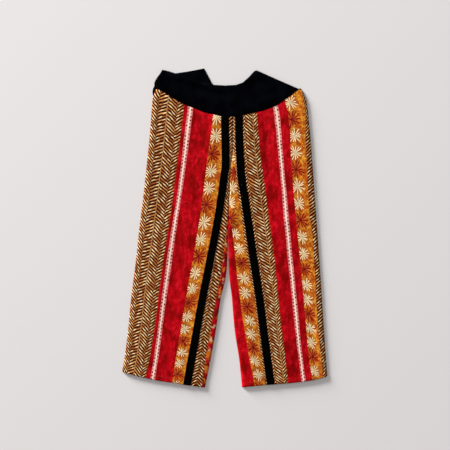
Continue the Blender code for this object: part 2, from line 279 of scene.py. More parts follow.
# How a printed line strays: waves that turn so many radians a millimetre, each with its own start
Wave = namedtuple("Wave", "turn share start")
PRINT_WAVES = (Wave(0.021, 1.0, 10.8), Wave(0.052, 0.6, 7.16), Wave(0.113, 0.35, 4.885))
PRINT_WOBBLE = 0.9
# How far a flower stripe's own line is from where the stripe starts
RIGHT_FLOWERS_IN = 12.5
LEFT_FLOWERS_IN = 11.5
# How each band of the chevron print turns: a column's share of the stripe, how many strokes a line
# climbs in crossing it, and how far its strokes start from the last column's
Column = namedtuple("Column", "share rise offset")
CHEVRONS_WIDE = (
    Column(0.20, 2.2, 0.0),
    Column(0.28, -0.85, 0.45),
    Column(0.31, 2.5, 0.5),
    Column(0.21, -1.2, 0.4),
)
CHEVRONS_NARROW = (Column(0.14, -0.8, 0.0), Column(0.56, 2.0, 0.45), Column(0.30, -1.5, 0.1))
STROKES_UP = (Column(1.0, -1.1, 0.0),)
STROKES_DOWN = (Column(1.0, 0.8, 0.0),)
STROKES_STEEP = (Column(1.0, 1.5, 0.0),)
STROKES_EDGE = (Column(1.0, -1.5, 0.0),)
PLAIN = (Column(1.0, 0.0, 0.0),)
COLUMN_EDGE = 0.004
# The strokes' pitch half way up the legs, and how it shrinks towards the hems
STROKE_PITCH = 9.6
PITCH_CHANGE = 0.0000625


def curve_through(places, values):
    """A smooth function through the points that doesn't overshoot between them."""
    steps = [b - a for a, b in zip(places, places[1:])]
    slopes = [(q - p) / step for p, q, step in zip(values, values[1:], steps)]
    tangents = [slopes[0]]
    for left, right in zip(slopes, slopes[1:]):
        tangents.append(0.0 if left * right <= 0 else 2 * left * right / (left + right))
    tangents.append(slopes[-1])

    def value(at):
        if at <= places[0]:
            return values[0] + (at - places[0]) * tangents[0]
        if at >= places[-1]:
            return values[-1] + (at - places[-1]) * tangents[-1]
        i = bisect_right(places, at) - 1
        t = (at - places[i]) / steps[i]
        start = values[i] + t * steps[i] * tangents[i]
        end = values[i + 1] - (1 - t) * steps[i] * tangents[i + 1]
        return start + (end - start) * ease(t)

    return value


def ease(t):
    """From 0 to 1, level at both ends."""
    t = min(max(t, 0.0), 1.0)
    return t * t * (3 - 2 * t)


def column_curve(rows, place, name):
    """One named column of a table as a smooth function of another."""
    rows = sorted(rows, key=lambda row: getattr(row, place))
    return curve_through([getattr(row, place) for row in rows], [getattr(row, name) for row in rows])


def wobble(seed, y, size):
    """A slow, uneven shift, because a printed line is never quite straight."""
    shift = sum(w.share * math.sin(w.turn * y + seed * w.start) for w in PRINT_WAVES)
    return size * shift / sum(w.share for w in PRINT_WAVES)


def strokes_up(y):
    """How many strokes up the chevron print a height is."""
    return y * (1 - PITCH_CHANGE * y) / STROKE_PITCH


centre_seam = column_curve(CENTRE_SEAM, "y", "x")
front_waist = column_curve(FRONT_WAIST, "x", "y")


class Leg:
    """The plan of one leg: its edges, and how far down the print a point is."""

    def __init__(self, rows, inseam, hem, stripe_rows, print_rows):
        self.outer = column_curve(rows, "y", "outer")
        self.tape = column_curve(rows, "y", "tape")
        self.inseam = column_curve(inseam, "y", "x")
        self.hem = column_curve(hem, "x", "y")
        self.side = 1 if rows[0].outer > rows[0].tape else -1
        self.stripe_rows = stripe_rows
        self.flower_at_start = column_curve(print_rows, "at_start", "flower")
        self.flower_at_end = column_curve(print_rows, "at_end", "flower")

    def inner(self, y):
        across = centre_seam(y) if y >= 0 else self.inseam(y)
        return across + self.side * SEAM_GAP / 2

    def tape_edge(self, sign):
        return lambda y: self.tape(y) + sign * TAPE_WIDTH / 2

    def printed(self, name):
        """A line of the print, from the table of stripes."""
        line = column_curve(self.stripe_rows, "y", name)
        return lambda y: line(y) + wobble(len(name), y, PRINT_WOBBLE)

    def beside(self, name, distance):
        """The line that a stripe's flowers sit on, at a distance from the stripe's start."""
        line = column_curve(self.stripe_rows, "y", name)
        return lambda y: line(y) + distance

    def left(self, y):
        return self.outer(y) if self.side < 0 else self.inner(y)

    def right(self, y):
        return self.inner(y) if self.side < 0 else self.outer(y)

    def flower(self, x, y):
        """How many flowers down the print a point is."""
        t = min(max((x - self.left(y)) / (self.right(y) - self.left(y)), 0.0), 1.0)
        return self.flower_at_start(y) * (1 - t) + self.flower_at_end(y) * t


right_leg = Leg(RIGHT_LEG, RIGHT_INSEAM, RIGHT_HEM, RIGHT_STRIPES, RIGHT_PRINT)
left_leg = Leg(LEFT_LEG, LEFT_INSEAM, LEFT_HEM, LEFT_STRIPES, LEFT_PRINT)
# A stripe of the print; a flower stripe also has the line that its flowers sit on
Stripe = namedtuple("Stripe", "start kind columns flower_line", defaults=(None,))
right_leg.stripes = (
    Stripe(right_leg.outer, "chevrons", CHEVRONS_WIDE),
    Stripe(right_leg.printed("red"), "red", PLAIN),
    Stripe(right_leg.printed("line"), "line", PLAIN),
    Stripe(right_leg.printed("wide_red"), "red", PLAIN),
    Stripe(
        right_leg.printed("flowers"),
        "flowers",
        PLAIN,
        right_leg.beside("flowers", RIGHT_FLOWERS_IN),
    ),
    Stripe(right_leg.tape_edge(-1), "chevrons", STROKES_UP),
    Stripe(right_leg.tape_edge(1), "chevrons", STROKES_UP),
    Stripe(right_leg.printed("turn"), "chevrons", STROKES_STEEP),
    Stripe(right_leg.printed("sliver"), "edge", PLAIN),
)
left_leg.stripes = (
    Stripe(left_leg.inner, "red", PLAIN),
    Stripe(left_leg.printed("flowers"), "flowers", PLAIN, column_curve(INNER_FLOWERS, "y", "x")),
    Stripe(left_leg.printed("strokes"), "chevrons", STROKES_DOWN),
    Stripe(left_leg.tape_edge(-1), "chevrons", STROKES_UP),
    Stripe(left_leg.tape_edge(1), "chevrons", CHEVRONS_NARROW),
    Stripe(left_leg.printed("wide_red"), "red", PLAIN),
    Stripe(left_leg.printed("line"), "line", PLAIN),
    Stripe(left_leg.printed("red"), "red", PLAIN),
    Stripe(
        left_leg.printed("outer_flowers"),
        "flowers",
        PLAIN,
        left_leg.beside("outer_flowers", LEFT_FLOWERS_IN),
    ),
    Stripe(left_leg.printed("edge"), "chevrons", STROKES_EDGE),
)


def shoulder(distance, width):
    """0 at an edge and 1 from `width` inwards, round in between."""
    t = min(max(distance / width, 0.0), 1.0)
    return math.sqrt(1 - (1 - t) ** 2)


def fold_height(folds, x, y):
    """The sum of the folds at a point; each fades out across its side and towards its ends."""
    total = 0.0
    for fold in folds:
        dx, dy = fold.x1 - fold.x0, fold.y1 - fold.y0
        length = math.hypot(dx, dy)
        across = ((x - fold.x0) * dy - (y - fold.y0) * dx) / length
        if abs(across) > 3 * fold.side:
            continue
        along = ((x - fold.x0) * dx + (y - fold.y0) * dy) / length
        beyond = max(-along, along - length, 0.0) / (FOLD_FADE * fold.side)
        total += fold.height * math.exp(-((across / fold.side) ** 2) - beyond**2)
    return total


def open_lift(x, y):
    """How far the front layer lies above the back one, away from any edge."""
    middle = MOST_LIFT / 2
    return middle + middle * math.tanh((PUFF + fold_height(FOLDS, x, y) - middle) / middle)


def front_top(leg, x, y):
    """The height of the front panel's upper face, rolled down at its edges and low at its seams."""
    from_outer = abs(x - leg.outer(y))
    from_inner = abs(x - leg.inner(y))
    below_crotch = min(max(-y / CROTCH_BLEND, 0.0), 1.0)
    groove = GROOVE_LIFT + (1 - GROOVE_LIFT) * shoulder(from_inner, SEAM_GROOVE)
    at_inner = groove + (shoulder(from_inner, LEG_SHOULDER) - groove) * below_crotch
    lift = open_lift(x, y) * shoulder(from_outer, LEG_SHOULDER) * at_inner
    crease = fold_height(CREASES, x, y) * shoulder(min(from_outer, from_inner), 2 * ROLL)
    rolled = (1 - shoulder(from_outer, ROLL)) + (1 - shoulder(from_inner, ROLL)) * below_crotch
    dip = SEAM_DIP * (1 - ease(from_inner / SEAM_DIP_WIDTH)) * (1 - below_crotch)
    return BACK_WALL + LAYER_GAP + FRONT_WALL + lift + crease - ROLL_DROP * rolled - dip


def end_rise(from_hem, from_waist):
    """A turned-up hem is thicker, and the waist seam pulls the cloth down."""
    in_hem = HEM_RISE * (1 - ease((from_hem - HEM_DEPTH) / HEM_STEP + 0.5))
    return in_hem - SEAM_DIP * (1 - ease(from_waist / SEAM_DIP_WIDTH))


def crossing(edge, line):
    """The height at which a line down the leg meets an edge that crosses it."""
    y = 0.0
    for _ in range(EDGE_SEARCH):
        y = edge(line(y))
    return y


# The plan's middle in the frame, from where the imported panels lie
right_panel_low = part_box("leg_front_right")[0]
plan_shift = Vector((
    right_panel_low[0] - right_leg.outer(crossing(right_leg.hem, right_leg.outer)) * MM,
    right_panel_low[1] - crossing(right_leg.hem, right_leg.inner) * MM,
    0.0,
))


def plain_mesh(name, data):
    """A finished piece at the origin, from its mesh."""
    piece = bpy.data.objects.new(name, data)
    bpy.context.scene.collection.objects.link(piece)
    return piece


def shell(name, tops, wall, materials, kind_of, print_of):
    """A thin closed shell under rows of upper points, with each face's material and print map."""
    wide, tall = len(tops[0]), len(tops)
    mesh = bmesh.new()
    uv = mesh.loops.layers.uv.new("print")
    high = [[mesh.verts.new(Vector(p) * MM + plan_shift) for p in row] for row in tops]
    under = [[(x, y, max(z - wall, 0.0)) for x, y, z in row] for row in tops]
    low = [[mesh.verts.new(Vector(p) * MM + plan_shift) for p in row] for row in under]

    def face(layers, cell, corners):
        made = mesh.faces.new([layer[j][i] for layer, (j, i) in zip(layers, corners)])
        made.material_index = kind_of(*cell)
        made.smooth = True
        for loop, (j, i) in zip(made.loops, corners):
            loop[uv].uv = print_of(cell, j, i)

    for j in range(tall - 1):
        for i in range(wide - 1):
            around = ((j, i), (j, i + 1), (j + 1, i + 1), (j + 1, i))
            face([high] * 4, (j, i), around)
            face([low] * 4, (j, i), around[::-1])
    rim = [(0, i) for i in range(wide)]
    rim += [(j, wide - 1) for j in range(1, tall)]
    rim += [(tall - 1, i) for i in range(wide - 2, -1, -1)]
    rim += [(j, 0) for j in range(tall - 2, 0, -1)]
    for a, b in zip(rim, rim[1:] + rim[:1]):
        cell = (min(a[0], b[0], tall - 2), min(a[1], b[1], wide - 2))
        face([low, low, high, high], cell, (a, b, b, a))
    data = bpy.data.meshes.new(name)
    mesh.to_mesh(data)
    mesh.free()
    for made in materials:
        data.materials.append(made)
    return plain_mesh(name, data)


# One grid cell's width of a stripe: from `share` to `next_share` across the stripe, and from `place`
# to `next_place` across its column, in which a stroke climbs from `climb` to `next_climb`
Strand = namedtuple("Strand", "stripe column share next_share place next_place climb next_climb")


def strands_of(number, stripe, width):
    """The strands across a stripe, column by column."""
    made = []
    share, climb = 0.0, 0.0
    for index, column in enumerate(stripe.columns):
        climb += column.offset
        count = max(1, math.ceil(column.share * width / CELL))
        for i in range(count):
            places = (i / count, (i + 1) / count)
            shares = [share + column.share * place for place in places]
            climbs = [climb + column.rise * place for place in places]
            made.append(Strand(number, index, *shares, *places, *climbs))
        share += column.share
        climb += column.rise
    return made


def printed_panel(name, leg, waist, inset, row_step, wall, top_of, materials, kinds):
    """A leg's panel, with grid lines on all the print's lines so that these stay sharp.

    An inset draws the sides in, and the hem by a quarter as much.
    """
    starts = [stripe.start for stripe in leg.stripes]

    def lines_at(y):
        """The x of each stripe's start, and of the panel's far edge."""
        xs = [leg.left(y)]
        for start in starts[1:]:
            xs.append(max(xs[-1] + LEAST_STRIPE, start(y)))
        xs.append(leg.right(y))
        for i in range(len(xs) - 2, 0, -1):
            xs[i] = min(xs[i], xs[i + 1] - LEAST_STRIPE)
        middle, half = (xs[0] + xs[-1]) / 2, (xs[-1] - xs[0]) / 2
        return [middle + (x - middle) * (half - inset) / half for x in xs]

    levels = [lines_at(y) for y in MEASURED_AT]
    strands = []
    for number, stripe in enumerate(leg.stripes):
        width = max(level[number + 1] - level[number] for level in levels)
        strands += strands_of(number, stripe, width)
    grid_lines = [(s.stripe, s.share) for s in strands] + [(strands[-1].stripe, 1.0)]

    def x_on(grid_line, y):
        xs = lines_at(y)
        number, share = grid_line
        return xs[number] + (xs[number + 1] - xs[number]) * share

    ends = []
    for grid_line in grid_lines:
        line = functools.partial(x_on, grid_line)
        ends.append((crossing(leg.hem, line) + inset / 4, crossing(waist, line) - SEAM_GAP / 2))
    rows = round((ends[0][1] - ends[0][0]) / row_step)
    tops = []
    for j in range(rows + 1):
        row = []
        for grid_line, (low, high) in zip(grid_lines, ends):
            y = low + (high - low) * j / rows
            x = x_on(grid_line, y)
            row.append((x, y, top_of(leg, x, y, y - low, high - y)))
        tops.append(row)

    @functools.cache
    def kind_at(j, i):
        """The print at a cell: where a stripe has no width left, it takes the chevrons beside it."""
        number = strands[i].stripe
        xs = lines_at(tops[j][i][1])
        has_width = xs[number + 1] - xs[number] > LEAST_PRINT
        return leg.stripes[number].kind if has_width else "chevrons"

    def print_of(cell, j, i):
        """Chevrons: column and place across it, and strokes up. Flowers: how far from their line, and
        flowers down. Others: share across, and height."""
        strand = strands[cell[1]]
        is_next = i > cell[1]
        x, y, _ = tops[j][i]
        kind = kind_at(*cell)
        if kind == "chevrons":
            place = strand.next_place if is_next else strand.place
            place = min(max(place, COLUMN_EDGE), 1 - COLUMN_EDGE)
            climb = strand.next_climb if is_next else strand.climb
            return strand.column + place, climb + strokes_up(y)
        if kind == "flowers":
            return x - leg.stripes[strand.stripe].flower_line(y), leg.flower(x, y)
        return strand.next_share if is_next else strand.share, y

    return shell(name, tops, wall, materials, lambda j, i: kinds.index(kind_at(j, i)), print_of)


def linear(hex_colour):
    """An sRGB hex colour as linear RGBA."""
    parts = [int(hex_colour[i : i + 2], 16) / 255 for i in (0, 2, 4)]
    return (*[c / 12.92 if c <= 0.04045 else ((c + 0.055) / 1.055) ** 2.4 for c in parts], 1.0)


def add(tree, kind, inputs=(), out=0, **settings):
    """Adds a node, sets it, and gives its inputs values or links, in order or by name."""
    made = tree.nodes.new(kind)
    for name, value in settings.items():
        setattr(made, name, value)
    for key, value in inputs.items() if isinstance(inputs, dict) else enumerate(inputs):
        if isinstance(value, bpy.types.NodeSocket):
            tree.links.new(value, made.inputs[key])
        elif value is not None:
            made.inputs[key].default_value = value
    return made.outputs[out]


MATH = "ShaderNodeMath"
RAMP = "ShaderNodeMapRange"
MIX = "ShaderNodeMix"
NOISE = "ShaderNodeTexNoise"
EASED = {"interpolation_type": "SMOOTHSTEP"}
COLOUR = {"data_type": "RGBA", "out": 2}
# Real plain weave has about three threads a millimetre; these are drawn three times coarser
WEAVE_PITCH = 1.0
# Blender's wave bands turn through 20 radians in a unit at scale 1, or 10 where they run diagonally
WAVE_TURN = 20.0
DIAGONAL_TURN = 10.0
# The weave's share of the relief, the rest being crumple, and the relief's depth
WEAVE_SHARE = 0.02
CRUMPLE_SIZE = 16.667
RELIEF_DEPTH = 1.6
COTTON_ROUGHNESS = 0.85
COTTON_SHEEN = 0.05


def cloth_material(name, roughness, specular):
    """A material with a plain cloth shader."""
    made = bpy.data.materials.new(name)
    made.use_nodes = True
    shader = made.node_tree.nodes["Principled BSDF"]
    shader.inputs["Roughness"].default_value = roughness
    shader.inputs["Specular IOR Level"].default_value = specular
    return made, made.node_tree, shader


def wave_scale(turn, pitch):
    """The scale at which wave bands have a pitch in millimetres."""
    return 2 * math.pi / (turn * pitch * MM)


def mark_scale(size):
    """The scale at which a pattern's marks are so many millimetres across."""
    return 1 / (size * MM)


def finish_cotton(tree, shader, colour):
    """Puts a colour on the cloth, with the weave's threads and a slight crumple as relief."""
    place = add(tree, "ShaderNodeTexCoord", out=3)
    threads = wave_scale(WAVE_TURN, WEAVE_PITCH)
    warp = add(tree, "ShaderNodeTexWave", (place, threads), bands_direction="X", out=1)
    weft = add(tree, "ShaderNodeTexWave", (place, threads), bands_direction="Y", out=1)
    weave = add(tree, MATH, (warp, weft), operation="MAXIMUM")
    crumple = {"Vector": place, "Scale": mark_scale(CRUMPLE_SIZE), "Detail": 4.0, "Roughness": 0.6}
    crumple = add(tree, NOISE, crumple)
    height = add(tree, MATH, (weave, WEAVE_SHARE, crumple), operation="MULTIPLY_ADD")
    bump = {"Strength": 0.5, "Distance": RELIEF_DEPTH * MM, "Height": height}
    relief = add(tree, "ShaderNodeBump", bump)
    tree.links.new(relief, shader.inputs["Normal"])
    tree.links.new(colour, shader.inputs["Base Color"])


# Red ground: cotton dyed crimson by hand, so it is blotted darker where the dye has pooled
DYE_POOL = 21.739
DYE_BLOT = 8.333
red_cotton, tree, shader = cloth_material("red_dyed_cotton", COTTON_ROUGHNESS, COTTON_SHEEN)
place = add(tree, "ShaderNodeTexCoord", out=3)
place = add(tree, "ShaderNodeMapping", {"Vector": place, "Scale": (1.0, 0.55, 1.0)})
pools = {"Vector": place, "Scale": mark_scale(DYE_POOL), "Detail": 4.0, "Roughness": 0.6}
pools = add(tree, NOISE, pools)
blots = {"Vector": place, "Scale": mark_scale(DYE_BLOT), "Detail": 3.0, "Roughness": 0.6}
blots = add(tree, NOISE, blots)
deep = add(tree, RAMP, (pools, 0.44, 0.64), **EASED)
light = add(tree, RAMP, (blots, 0.44, 0.66), **EASED)
colour = add(tree, MIX, {0: light, 6: linear("a8000a"), 7: linear("cc0c1e")}, **COLOUR)
colour = add(tree, MIX, {0: deep, 6: colour, 7: linear("820000")}, **COLOUR)
finish_cotton(tree, shader, colour)

# Chevron print: herringbone columns of tan strokes on near-black brown, each with a cream blob
STROKE_WAVER = 16.667
chevron_cotton, tree, shader = cloth_material("chevron_printed_cotton", COTTON_ROUGHNESS, COTTON_SHEEN)
place = add(tree, "ShaderNodeUVMap", uv_map="print")
column_place = add(tree, "ShaderNodeSeparateXYZ", (place,))
climb = column_place.node.outputs[1]
ground = add(tree, "ShaderNodeTexCoord", out=3)
waver = add(tree, NOISE, {"Vector": ground, "Scale": mark_scale(STROKE_WAVER), "Detail": 2.0})
phase = add(tree, MATH, (waver, 0.8, climb), operation="MULTIPLY_ADD")
across = add(tree, MATH, (column_place,), operation="FRACT")
column = add(tree, MATH, (column_place,), operation="FLOOR")
stroke = add(tree, MATH, (phase,), operation="FLOOR")
from_middle = add(tree, MATH, (phase,), operation="FRACT")
from_middle = add(tree, MATH, (from_middle, 0.5), operation="SUBTRACT")
from_middle = add(tree, MATH, (from_middle,), operation="ABSOLUTE")
from_edge = add(tree, MATH, (across, 0.5), operation="SUBTRACT")
from_edge = add(tree, MATH, (from_edge,), operation="ABSOLUTE")
seed = add(tree, "ShaderNodeCombineXYZ", (stroke, column, 0.0))
chance = add(tree, "ShaderNodeTexWhiteNoise", (seed,), out=1)
chance = add(tree, "ShaderNodeSeparateColor", (chance,))
tone, spot = chance.node.outputs[1], chance.node.outputs[2]
half = add(tree, RAMP, (from_edge, 0.5, 0.3, 0.08, 0.142), **EASED)
half = add(tree, MATH, (chance, 0.05, half), operation="MULTIPLY_ADD")
soft = add(tree, MATH, (half, 0.06), operation="ADD")
ink = add(tree, RAMP, (from_middle, half, soft), **EASED)
blob = add(tree, RAMP, (spot, 0.0, 1.0, 0.1, 0.9))
blob = add(tree, MATH, (across, blob), operation="SUBTRACT")
blob = add(tree, MATH, (blob,), operation="ABSOLUTE")
blob = add(tree, RAMP, (blob, 0.28, 0.07), **EASED)
crest = add(tree, RAMP, (from_middle, 0.22, 0.06), **EASED)
blob = add(tree, MATH, (blob, crest), operation="MULTIPLY")
tan = add(tree, MIX, {0: tone, 6: linear("a05828"), 7: linear("da9652")}, **COLOUR)
colour = add(tree, MIX, {0: blob, 6: tan, 7: linear("ffe6b0")}, **COLOUR)
colour = add(tree, MIX, {0: ink, 6: colour, 7: linear("3c0a00")}, **COLOUR)
spine = add(tree, MATH, (column_place,), operation="ROUND")
is_middle = add(tree, MATH, (spine, 2.0, 0.1), operation="COMPARE")
strength = add(tree, MATH, (is_middle, 0.65, 0.1), operation="MULTIPLY_ADD")
stem = add(tree, RAMP, (from_edge, 0.43, 0.465), **EASED)
stem = add(tree, MATH, (stem, strength), operation="MULTIPLY")
colour = add(tree, MIX, {0: stem, 6: colour, 7: linear("b98a52")}, **COLOUR)
finish_cotton(tree, shader, colour)

# Line print: a pale pink line with a row of dark red dots down each side, blurred into the red
DOT_PITCH = 10.4
LINE_BLUR = 11.111
line_cotton, tree, shader = cloth_material("line_printed_cotton", COTTON_ROUGHNESS, COTTON_SHEEN)
place = add(tree, "ShaderNodeUVMap", uv_map="print")
across = add(tree, "ShaderNodeSeparateXYZ", (place,))
along = across.node.outputs[1]
off = add(tree, MATH, (across, 0.5), operation="SUBTRACT")
from_middle = add(tree, MATH, (off,), operation="ABSOLUTE")
is_right = add(tree, MATH, (off, 0.0), operation="GREATER_THAN")
beat = add(tree, MATH, (along, 1 / DOT_PITCH), operation="MULTIPLY")
beat = add(tree, MATH, (is_right, 0.5, beat), operation="MULTIPLY_ADD")
number = add(tree, MATH, (beat,), operation="FLOOR")
seed = add(tree, "ShaderNodeCombineXYZ", (number, is_right, 0.0))
chance = add(tree, "ShaderNodeTexWhiteNoise", (seed,))
uneven = add(tree, RAMP, (chance, 0.0, 0.7, 0.35, 1.0))
beat = add(tree, MATH, (beat,), operation="FRACT")
beat = add(tree, MATH, (beat, 0.5), operation="SUBTRACT")
beat = add(tree, MATH, (beat,), operation="ABSOLUTE")
off_row = add(tree, MATH, (from_middle, 0.26), operation="SUBTRACT")
off_row = add(tree, MATH, (off_row,), operation="ABSOLUTE")
in_row = add(tree, RAMP, (off_row, 0.16, 0.10), **EASED)
dot = add(tree, RAMP, (beat, 0.30, 0.18), **EASED)
dot = add(tree, MATH, (dot, in_row), operation="MULTIPLY")
dot = add(tree, MATH, (dot, uneven), operation="MULTIPLY")
ground = add(tree, "ShaderNodeTexCoord", out=3)
blur = add(tree, NOISE, {"Vector": ground, "Scale": mark_scale(LINE_BLUR), "Detail": 2.0})
from_middle = add(tree, MATH, (blur, 0.16, from_middle), operation="MULTIPLY_ADD")
rim = add(tree, RAMP, (from_middle, 0.16, 0.32), **EASED)
edge = add(tree, RAMP, (from_middle, 0.42, 0.60), **EASED)
colour = add(tree, MIX, {0: rim, 6: linear("ffdcd0"), 7: linear("f09a90")}, **COLOUR)
colour = add(tree, MIX, {0: edge, 6: colour, 7: linear("a80612")}, **COLOUR)
colour = add(tree, MIX, {0: dot, 6: colour, 7: linear("50060c")}, **COLOUR)
finish_cotton(tree, shader, colour)


# The flowers' pitch at flower 0, and its change from each flower to the next one down
FLOWER_PITCH = 51.0
FLOWER_SHRINK = -0.85
PETALS_ROUND = 13


def starburst():
    """One printed flower as a node group: its petals and heart, if it is dark, and how near it is."""
    group = bpy.data.node_groups.new("starburst", "ShaderNodeTree")
    for name in ("Across", "Along", "Number"):
        group.interface.new_socket(name, in_out="INPUT", socket_type="NodeSocketFloat")
    for name in ("Petals", "Heart", "Dark", "Near"):
        group.interface.new_socket(name, in_out="OUTPUT", socket_type="NodeSocketFloat")
    across, along, number = group.nodes.new("NodeGroupInput").outputs[:3]
    result = group.nodes.new("NodeGroupOutput").inputs
    turn = 2 * math.pi
    pitch = add(group, MATH, (number, FLOWER_SHRINK, FLOWER_PITCH), operation="MULTIPLY_ADD")
    # Each flower's middle strays a little off its line, and each is turned its own way
    seed = add(group, "ShaderNodeCombineXYZ", (number, 3.1, 0.0))
    chance = add(group, "ShaderNodeTexWhiteNoise", (seed,), out=1)
    chance = add(group, "ShaderNodeSeparateColor", (chance,))
    second = chance.node.outputs[1]
    centre = add(group, MATH, (chance, 5.0, -2.5), operation="MULTIPLY_ADD")
    x = add(group, MATH, (across, centre), operation="SUBTRACT")
    y = add(group, MATH, (along, number), operation="SUBTRACT")
    y = add(group, MATH, (y, pitch), operation="MULTIPLY")
    arm = add(group, "ShaderNodeCombineXYZ", (x, y, 0.0))
    radius = add(group, "ShaderNodeVectorMath", (arm,), operation="LENGTH", out=1)
    angle = add(group, MATH, (y, x), operation="ARCTAN2")
    angle = add(group, MATH, (second, turn, angle), operation="MULTIPLY_ADD")
    # The nearest petal, with its own reach and lean, and how far off its middle a point is
    petal = add(group, MATH, (angle, PETALS_ROUND / turn), operation="MULTIPLY")
    nearest = add(group, MATH, (petal,), operation="ROUND")
    wrapped = add(group, MATH, (nearest, PETALS_ROUND), operation="FLOORED_MODULO")
    seed = add(group, "ShaderNodeCombineXYZ", (wrapped, number, 5.0))
    own = add(group, "ShaderNodeTexWhiteNoise", (seed,), out=1)
    own = add(group, "ShaderNodeSeparateColor", (own,))
    lean = own.node.outputs[1]
    lean = add(group, MATH, (lean, 0.5), operation="SUBTRACT")
    off = add(group, MATH, (petal, nearest), operation="SUBTRACT")
    off = add(group, MATH, (lean, 0.6, off), operation="MULTIPLY_ADD")
    off = add(group, MATH, (off, turn / PETALS_ROUND), operation="MULTIPLY")
    off = add(group, MATH, (off,), operation="SINE")
    off = add(group, MATH, (off, radius), operation="MULTIPLY")
    off = add(group, MATH, (off,), operation="ABSOLUTE")
    # Every third flower is a dark one, which is larger and has broader petals
    third = add(group, MATH, (number, 3.0), operation="FLOORED_MODULO")
    dark = add(group, MATH, (third, 1.0, 0.25), operation="COMPARE")
    larger = add(group, MATH, (dark, 0.22, 1.0), operation="MULTIPLY_ADD")
    reach = add(group, MATH, (own, 0.17, 0.36), operation="MULTIPLY_ADD")
    reach = add(group, MATH, (reach, pitch), operation="MULTIPLY")
    reach = add(group, MATH, (reach, larger), operation="MULTIPLY")
    share = add(group, MATH, (radius, reach), operation="DIVIDE")
    swell = add(group, RAMP, (share, 0.05, 0.6, 0.014, 0.033), **EASED)
    swell = add(group, MATH, (swell, pitch), operation="MULTIPLY")
    broader = add(group, MATH, (dark, 0.55, 1.0), operation="MULTIPLY_ADD")
    swell = add(group, MATH, (swell, broader), operation="MULTIPLY")
    tip = add(group, RAMP, (share, 1.0, 0.85), **EASED)
    half = add(group, MATH, (swell, tip), operation="MULTIPLY")
    core = add(group, MATH, (half, 0.5), operation="MULTIPLY")
    petals = add(group, RAMP, (off, half, core), **EASED)
    inside = add(group, MATH, (share, 1.0), operation="LESS_THAN")
    petals = add(group, MATH, (petals, inside), operation="MULTIPLY")
    heart = add(group, RAMP, (radius, 5.0, 1.5), **EASED)
    far = add(group, MATH, (pitch, 0.62), operation="MULTIPLY")
    near = add(group, RAMP, (radius, far, 7.0), **EASED)
    for value, socket in zip((petals, heart, dark, near), result):
        group.links.new(value, socket)
    return group


# Flower print: starbursts on an orange ground, two cream and then one dark red, cut by the stripe
WARM_PATCH = 11.765
RUST_VEIN = 14.286
flower_cotton, tree, shader = cloth_material("flower_printed_cotton", COTTON_ROUGHNESS, COTTON_SHEEN)
place = add(tree, "ShaderNodeUVMap", uv_map="print")
across = add(tree, "ShaderNodeSeparateXYZ", (place,))
along = across.node.outputs[1]
ground = add(tree, "ShaderNodeTexCoord", out=3)
patches = {"Vector": ground, "Scale": mark_scale(WARM_PATCH), "Detail": 3.0, "Roughness": 0.6}
patches = add(tree, NOISE, patches)
veins = {"Vector": ground, "Scale": mark_scale(RUST_VEIN), "Detail": 2.0, "Distortion": 1.5}
veins = add(tree, NOISE, veins)
warm = add(tree, RAMP, (patches, 0.42, 0.60), **EASED)
colour = add(tree, MIX, {0: warm, 6: linear("e2982e"), 7: linear("b44e10")}, **COLOUR)
rust = add(tree, RAMP, (veins, 0.56, 0.64, 0.0, 0.85), **EASED)
colour = add(tree, MIX, {0: rust, 6: colour, 7: linear("a4380a")}, **COLOUR)
vein = add(tree, MATH, (veins, 0.5), operation="SUBTRACT")
vein = add(tree, MATH, (vein,), operation="ABSOLUTE")
vein = add(tree, RAMP, (vein, 0.045, 0.01, 0.0, 0.75), **EASED)
colour = add(tree, MIX, {0: vein, 6: colour, 7: linear("7c2404")}, **COLOUR)
flower_before = add(tree, MATH, (along,), operation="FLOOR")
flower_after = add(tree, MATH, (flower_before, 1.0), operation="ADD")
starburst_group = starburst()
for number in (flower_before, flower_after):
    petals = add(tree, "ShaderNodeGroup", node_tree=starburst_group)
    for socket, value in zip(petals.node.inputs, (across, along, number)):
        tree.links.new(value, socket)
    heart, dark, near = petals.node.outputs[1:4]
    between_petals = add(tree, MIX, {0: dark, 6: linear("964a14"), 7: linear("c04c1a")}, **COLOUR)
    shade = add(tree, MATH, (near, 0.8), operation="MULTIPLY")
    colour = add(tree, MIX, {0: shade, 6: colour, 7: between_petals}, **COLOUR)
    petal = add(tree, MIX, {0: dark, 6: linear("ffe9b8"), 7: linear("780408")}, **COLOUR)
    middle = add(tree, MIX, {0: dark, 6: linear("bcb294"), 7: linear("5c0a14")}, **COLOUR)
    colour = add(tree, MIX, {0: petals, 6: colour, 7: petal}, **COLOUR)
    colour = add(tree, MIX, {0: heart, 6: colour, 7: middle}, **COLOUR)
finish_cotton(tree, shader, colour)

# Edge print: what the inseam leaves of a flower stripe, in soft patches of red, orange and cream
DARK_PATCH = 25.0
ORANGE_PATCH = 18.182
CREAM_PATCH = 14.286
edge_cotton, tree, shader = cloth_material("edge_printed_cotton", COTTON_ROUGHNESS, COTTON_SHEEN)
place = add(tree, "ShaderNodeTexCoord", out=3)
deep = add(tree, NOISE, {"Vector": place, "Scale": mark_scale(DARK_PATCH), "Detail": 3.0})
deep = add(tree, RAMP, (deep, 0.46, 0.58), **EASED)
orange = {"Vector": place, "Scale": mark_scale(ORANGE_PATCH), "Detail": 3.0, "Distortion": 0.6}
orange = add(tree, NOISE, orange)
orange = add(tree, RAMP, (orange, 0.54, 0.60), **EASED)
cream = add(tree, NOISE, {"Vector": place, "Scale": mark_scale(CREAM_PATCH), "Detail": 2.0})
cream = add(tree, RAMP, (cream, 0.60, 0.70, 0.0, 0.8), **EASED)
colour = add(tree, MIX, {0: deep, 6: linear("b40a16"), 7: linear("7c100a")}, **COLOUR)
colour = add(tree, MIX, {0: orange, 6: colour, 7: linear("c8681c")}, **COLOUR)
